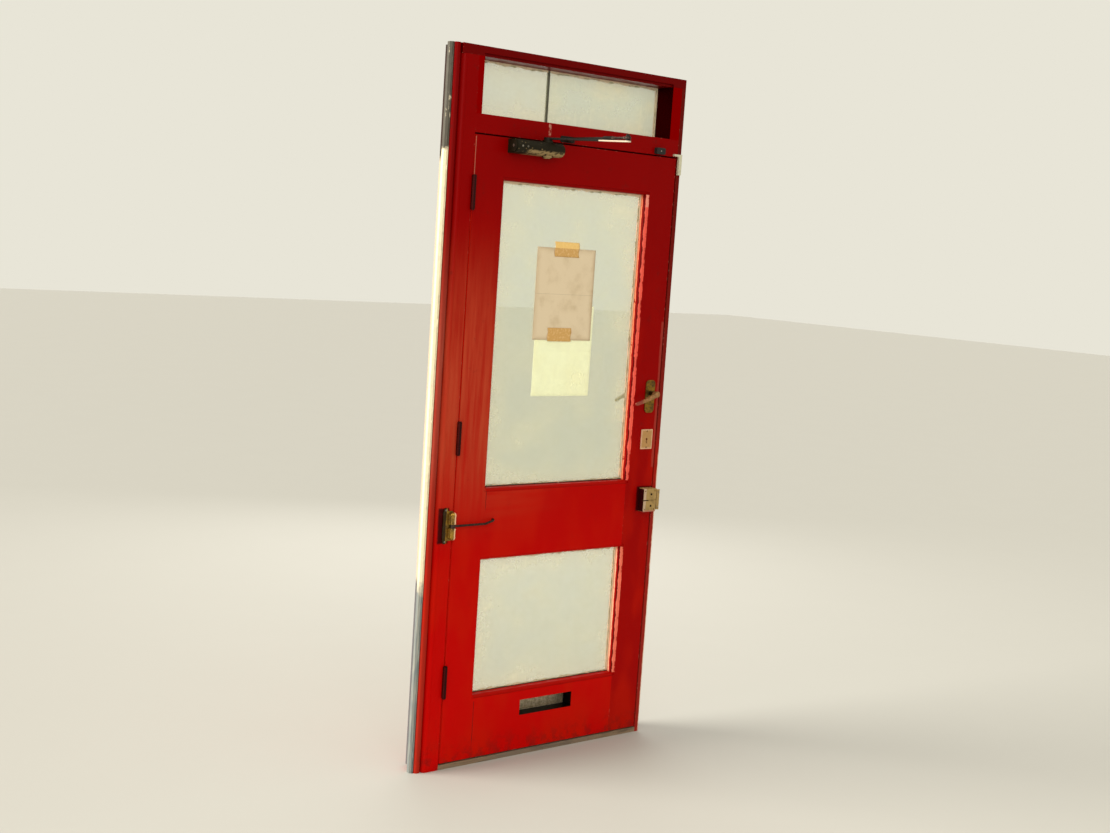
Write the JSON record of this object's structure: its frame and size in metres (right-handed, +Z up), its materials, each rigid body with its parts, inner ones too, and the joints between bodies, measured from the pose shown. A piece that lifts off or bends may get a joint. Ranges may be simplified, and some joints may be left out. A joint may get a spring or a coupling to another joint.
{
  "type": "shop entrance door set",
  "caption": "Painted timber shop door in its frame: glazed leaf on butt hinges, fanlight, overhead closer, spring closer, lever handles, rim lock and letter plate",
  "frame": {"origin": "on the floor, in line with the middle of the leaf and midway through the depth of the frame", "axes": "+X from the hinge side to the lock side, +Y out to the street, +Z up"},
  "size_m": [0.9335, 0.371, 2.265],
  "materials": {
    "red_timber": "gloss red paint, darker with dirt near the top",
    "pale_timber": "cream paint over filler",
    "bare_timber": "worn and bare",
    "leaf_glass": "dusty",
    "fanlight_glass": "dusty",
    "dark_plastic": "matt",
    "hinge_steel": "painted over, worn at the knuckles",
    "closer_paint": "satin, chipped, with old paint splashes",
    "plated_steel": "dull plating",
    "dark_steel": "dark and greasy",
    "old_brass": "dull, handled",
    "cream_metal": "old cream enamel",
    "white_plastic": "satin",
    "letter_metal": "satin, pitted"
  },
  "bodies": {
    "frame": {"hinge_post": "red_timber", "post_strip": "red_timber", "window_bead": "pale_timber", "lock_jamb": "red_timber", "frame_head": "red_timber", "transom": "red_timber", "threshold": "bare_timber", "door_stops": "red_timber", "fanlight_battens": "red_timber", "fanlight_pane_left": "fanlight_glass", "fanlight_pane_right": "fanlight_glass", "fanlight_pane_joint": "dark_plastic", "fanlight_beads": "red_timber", "frame_hinge_plates": "hinge_steel", "closer_shoe": "closer_paint", "latch_keep": "old_brass", "rim_lock_keep": "cream_metal", "spring_closer_body": "old_brass", "door_contact": "white_plastic", "transom_stop": "dark_plastic"},
    "leaf": {"hinge_stile": "red_timber", "lock_stile": "red_timber", "top_rail": "red_timber", "lock_rail": "red_timber", "bottom_rail": "red_timber", "upper_glass": "leaf_glass", "lower_glass": "leaf_glass", "leaf_beads": "red_timber", "leaf_hinge_plates": "hinge_steel", "closer_body": "closer_paint", "mortice_latch": "old_brass", "inside_handle_plate": "old_brass", "outside_handle_plate": "old_brass", "inside_keyhole_plate": "cream_metal", "outside_keyhole_plate": "cream_metal", "rim_lock_box": "cream_metal", "letter_plate": "letter_metal"},
    "main_arm": {"closer_arm": "closer_paint"},
    "forearm": {"closer_forearm": "closer_paint", "forearm_rod_end": "plated_steel"},
    "spring_arm": {"spring_closer_arm": "dark_steel"},
    "levers": {"lever_handles": "old_brass"},
    "flap": {"letter_flap": "letter_metal"}
  },
  "joints": [
    {"name": "door_swing", "type": "hinge", "parent": "frame", "child": "leaf", "pos_m": [-0.409, -0.0575, 1], "axis": [0, 0, -1], "range_deg": [0, 90], "stiffness_Nm_per_rad": 7, "springref_deg": -11.46},
    {"name": "closer_spindle", "type": "hinge", "parent": "leaf", "child": "main_arm", "pos_m": [-0.158, -0.08, 2.01], "axis": [0, 0, 1], "range_deg": [0, 156]},
    {"name": "closer_elbow", "type": "hinge", "parent": "main_arm", "child": "forearm", "pos_m": [-0.028, -0.311, 2.022], "axis": [0, 0, -1], "range_deg": [0, 99.5]},
    {"name": "spring_closer_turn", "type": "hinge", "parent": "frame", "child": "spring_arm", "pos_m": [-0.416, -0.062, 0.795], "axis": [0, 0, -1], "range_deg": [0, 90]},
    {"name": "lever_turn", "type": "hinge", "parent": "leaf", "child": "levers", "pos_m": [0.3655, -0.028, 1.206], "axis": [0, -1, 0], "range_deg": [0, 40], "stiffness_Nm_per_rad": 1.5, "springref_deg": -20.05},
    {"name": "flap_lift", "type": "hinge", "parent": "leaf", "child": "flap", "pos_m": [0.006, 0.0036, 0.191], "axis": [1, 0, 0], "range_deg": [0, 80], "stiffness_Nm_per_rad": 0.08, "springref_deg": -14.32}
  ],
  "couplings": [
    {"joint": "closer_spindle", "follows": "door_swing", "ratio": 1.723},
    {"joint": "closer_elbow", "follows": "door_swing", "ratio": 1.1011},
    {"joint": "spring_closer_turn", "follows": "door_swing", "ratio": 1}
  ]
}
